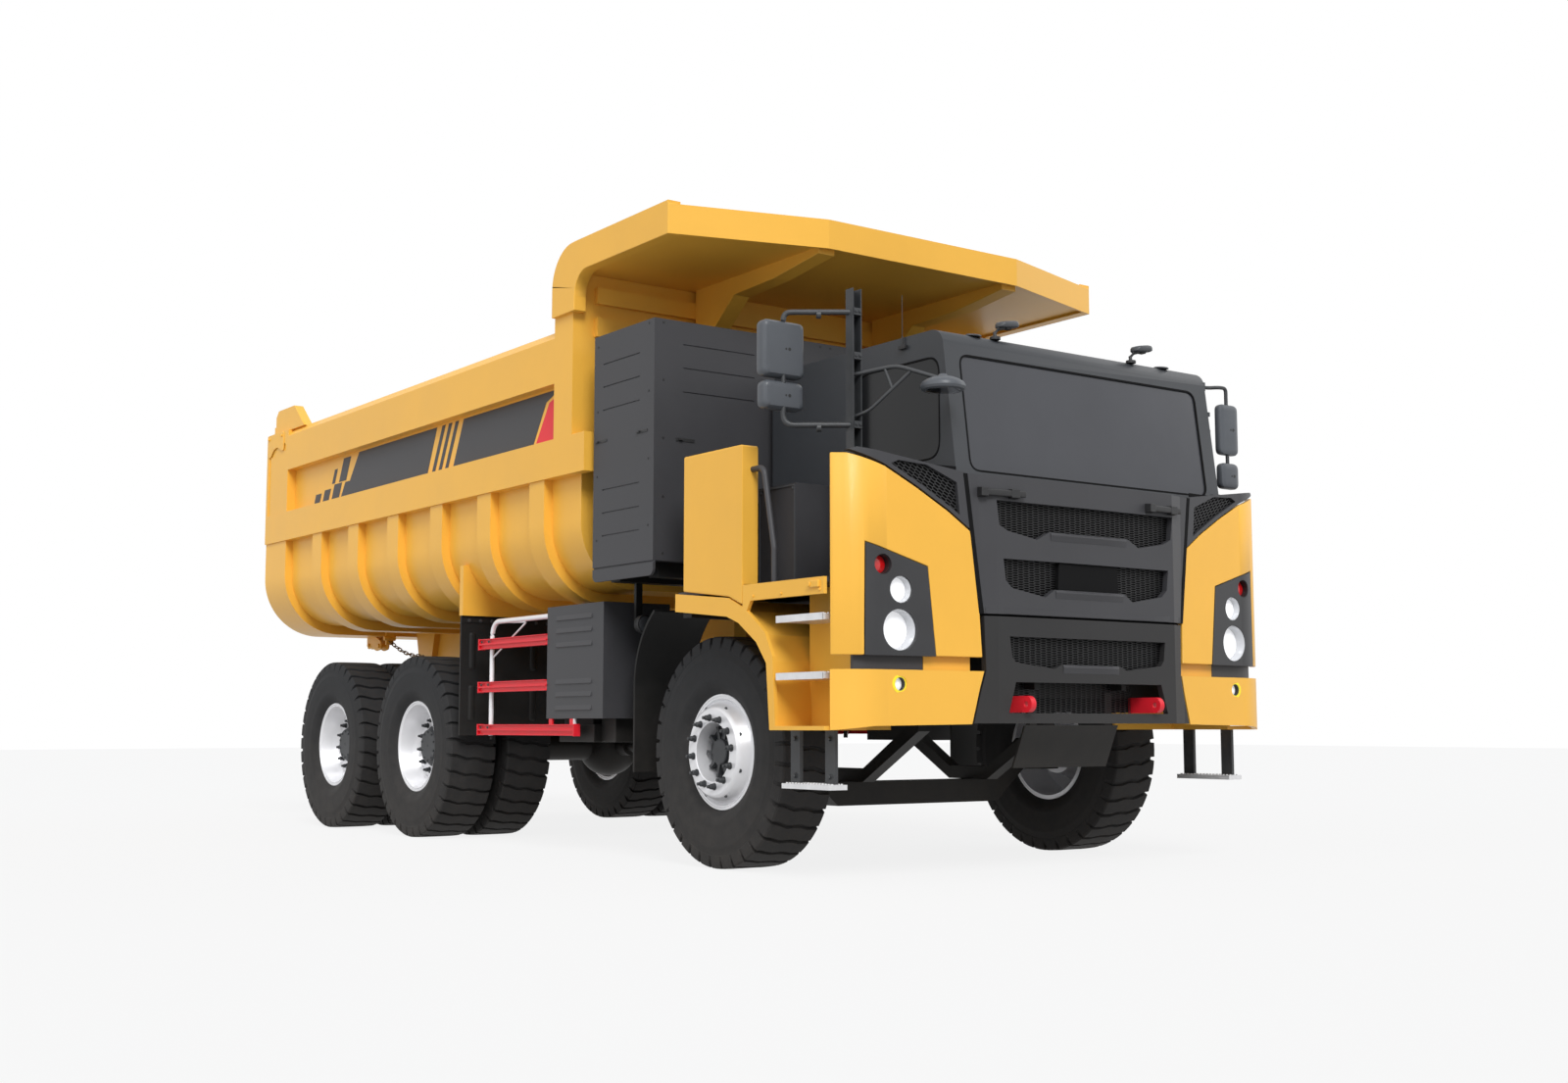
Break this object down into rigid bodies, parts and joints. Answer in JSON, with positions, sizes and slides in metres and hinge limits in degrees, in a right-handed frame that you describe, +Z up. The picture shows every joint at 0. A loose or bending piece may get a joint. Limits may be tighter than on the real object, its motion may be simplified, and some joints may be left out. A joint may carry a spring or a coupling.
{
  "type": "mining dump truck",
  "caption": "Wide-body electric mining dump truck with a ribbed tipping bed, canopy over an offset cab, twin rear wheels and steered front wheels",
  "frame": {"origin": "on the ground under the centre of the truck's bounding box", "axes": "+X forward to the nose, +Y to the truck's left, +Z up"},
  "size_m": [9.5519, 3.94, 4.3848],
  "materials": {
    "body_yellow": "satin",
    "charcoal_panel": "satin",
    "chassis_black": "satin",
    "signal_red": "satin",
    "rim_silver": "satin",
    "step_steel": "brushed",
    "rod_chrome": "polished",
    "tyre_rubber": "matt",
    "flap_rubber": "matt",
    "tinted_glass": "gloss",
    "lamp_glass": "gloss",
    "cab_plastic": "matt",
    "seat_fabric": "woven"
  },
  "bodies": {
    "chassis": {"battery_box": "charcoal_panel", "bumper_centre": "charcoal_panel", "bumper_corners": "body_yellow", "cab_glass": "tinted_glass", "cab_interior": "cab_plastic", "cab_shell": "charcoal_panel", "corner_panels": "body_yellow", "deck": "charcoal_panel", "deck_cabinets": "charcoal_panel", "drive_axles": "chassis_black", "driveline": "chassis_black", "fenders": "body_yellow", "frame_brackets": "chassis_black", "frame_rails": "chassis_black", "front_axle": "chassis_black", "front_mudguards": "flap_rubber", "guard_rails": "signal_red", "handrails": "charcoal_panel", "headlamps": "lamp_glass", "lamp_panels": "charcoal_panel", "leaf_springs": "chassis_black", "mirrors": "cab_plastic", "seats": "seat_fabric", "shoulder_panels": "charcoal_panel", "side_boxes": "charcoal_panel", "steering_wheel": "cab_plastic", "steps": "step_steel", "tall_covers": "body_yellow", "tow_hooks": "signal_red", "work_lamps": "cab_plastic"},
    "dump_body": {"bed_tub": "body_yellow", "bed_ribs": "body_yellow", "bed_rails": "body_yellow", "bed_subframe": "body_yellow", "canopy": "body_yellow", "mudflaps": "flap_rubber"},
    "tailgate": {"tailgate": "body_yellow"},
    "hood": {"hood_lid": "charcoal_panel"},
    "door": {"door_left": "charcoal_panel", "door_glass": "tinted_glass"},
    "knuckle_left": {"knuckle_left": "chassis_black"},
    "knuckle_right": {"knuckle_right": "chassis_black"},
    "hoist_barrels": {"hoist_barrels": "chassis_black"},
    "hoist_rods": {"hoist_rods": "rod_chrome"},
    "wheel_front_left": {"tyre_front_left": "tyre_rubber", "rim_front_left": "rim_silver"},
    "wheel_front_right": {"tyre_front_right": "tyre_rubber", "rim_front_right": "rim_silver"},
    "wheel_mid_left": {"tyre_mid_left": "tyre_rubber", "rim_mid_left": "rim_silver"},
    "wheel_mid_right": {"tyre_mid_right": "tyre_rubber", "rim_mid_right": "rim_silver"},
    "wheel_rear_left": {"tyre_rear_left": "tyre_rubber", "rim_rear_left": "rim_silver"},
    "wheel_rear_right": {"tyre_rear_right": "tyre_rubber", "rim_rear_right": "rim_silver"}
  },
  "joints": [
    {"name": "bed_tip", "type": "hinge", "parent": "chassis", "child": "dump_body", "pos_m": [-3.924, 0, 1.44], "axis": [0, -1, 0], "range_deg": [0, 48]},
    {"name": "tailgate_swing", "type": "hinge", "parent": "dump_body", "child": "tailgate", "pos_m": [-4.484, 0, 3.97], "axis": [0, 1, 0], "range_deg": [0, 60]},
    {"name": "hoist_swing", "type": "hinge", "parent": "chassis", "child": "hoist_barrels", "pos_m": [1.226, 0, 0.95], "axis": [0, 1, 0], "range_deg": [0, 13.62]},
    {"name": "hoist_stroke", "type": "slide", "parent": "hoist_barrels", "child": "hoist_rods", "axis": [-0.9827, 0, 0.1851], "range_m": [0, 1.025]},
    {"name": "hood_lift", "type": "hinge", "parent": "chassis", "child": "hood", "pos_m": [4.606, 0, 2.395], "axis": [0, -1, 0], "range_deg": [0, 75]},
    {"name": "door_swing", "type": "hinge", "parent": "chassis", "child": "door", "pos_m": [4.442, 1.44, 2.5], "axis": [0, 0, -1], "range_deg": [0, 70]},
    {"name": "steer_left", "type": "hinge", "parent": "chassis", "child": "knuckle_left", "pos_m": [2.976, 1.18, 0.7475], "axis": [0, 0, 1], "range_deg": [-35, 35]},
    {"name": "steer_right", "type": "hinge", "parent": "chassis", "child": "knuckle_right", "pos_m": [2.976, -1.18, 0.7475], "axis": [0, 0, 1], "range_deg": [-35, 35]},
    {"name": "roll_front_left", "type": "hinge", "parent": "knuckle_left", "child": "wheel_front_left", "pos_m": [2.976, 1.3, 0.7475], "axis": [0, 1, 0], "continuous": true},
    {"name": "roll_front_right", "type": "hinge", "parent": "knuckle_right", "child": "wheel_front_right", "pos_m": [2.976, -1.3, 0.7475], "axis": [0, 1, 0], "continuous": true},
    {"name": "roll_mid_left", "type": "hinge", "parent": "chassis", "child": "wheel_mid_left", "pos_m": [-1.22, 1.3, 0.7475], "axis": [0, 1, 0], "continuous": true},
    {"name": "roll_mid_right", "type": "hinge", "parent": "chassis", "child": "wheel_mid_right", "pos_m": [-1.22, -1.3, 0.7475], "axis": [0, 1, 0], "continuous": true},
    {"name": "roll_rear_left", "type": "hinge", "parent": "chassis", "child": "wheel_rear_left", "pos_m": [-2.996, 1.3, 0.7475], "axis": [0, 1, 0], "continuous": true},
    {"name": "roll_rear_right", "type": "hinge", "parent": "chassis", "child": "wheel_rear_right", "pos_m": [-2.996, -1.3, 0.7475], "axis": [0, 1, 0], "continuous": true}
  ],
  "couplings": [
    {"joint": "hoist_swing", "follows": "bed_tip", "ratio": 0.28277},
    {"joint": "hoist_stroke", "follows": "bed_tip", "m_per_rad": 1.2178},
    {"joint": "steer_right", "follows": "steer_left", "ratio": 1}
  ]
}
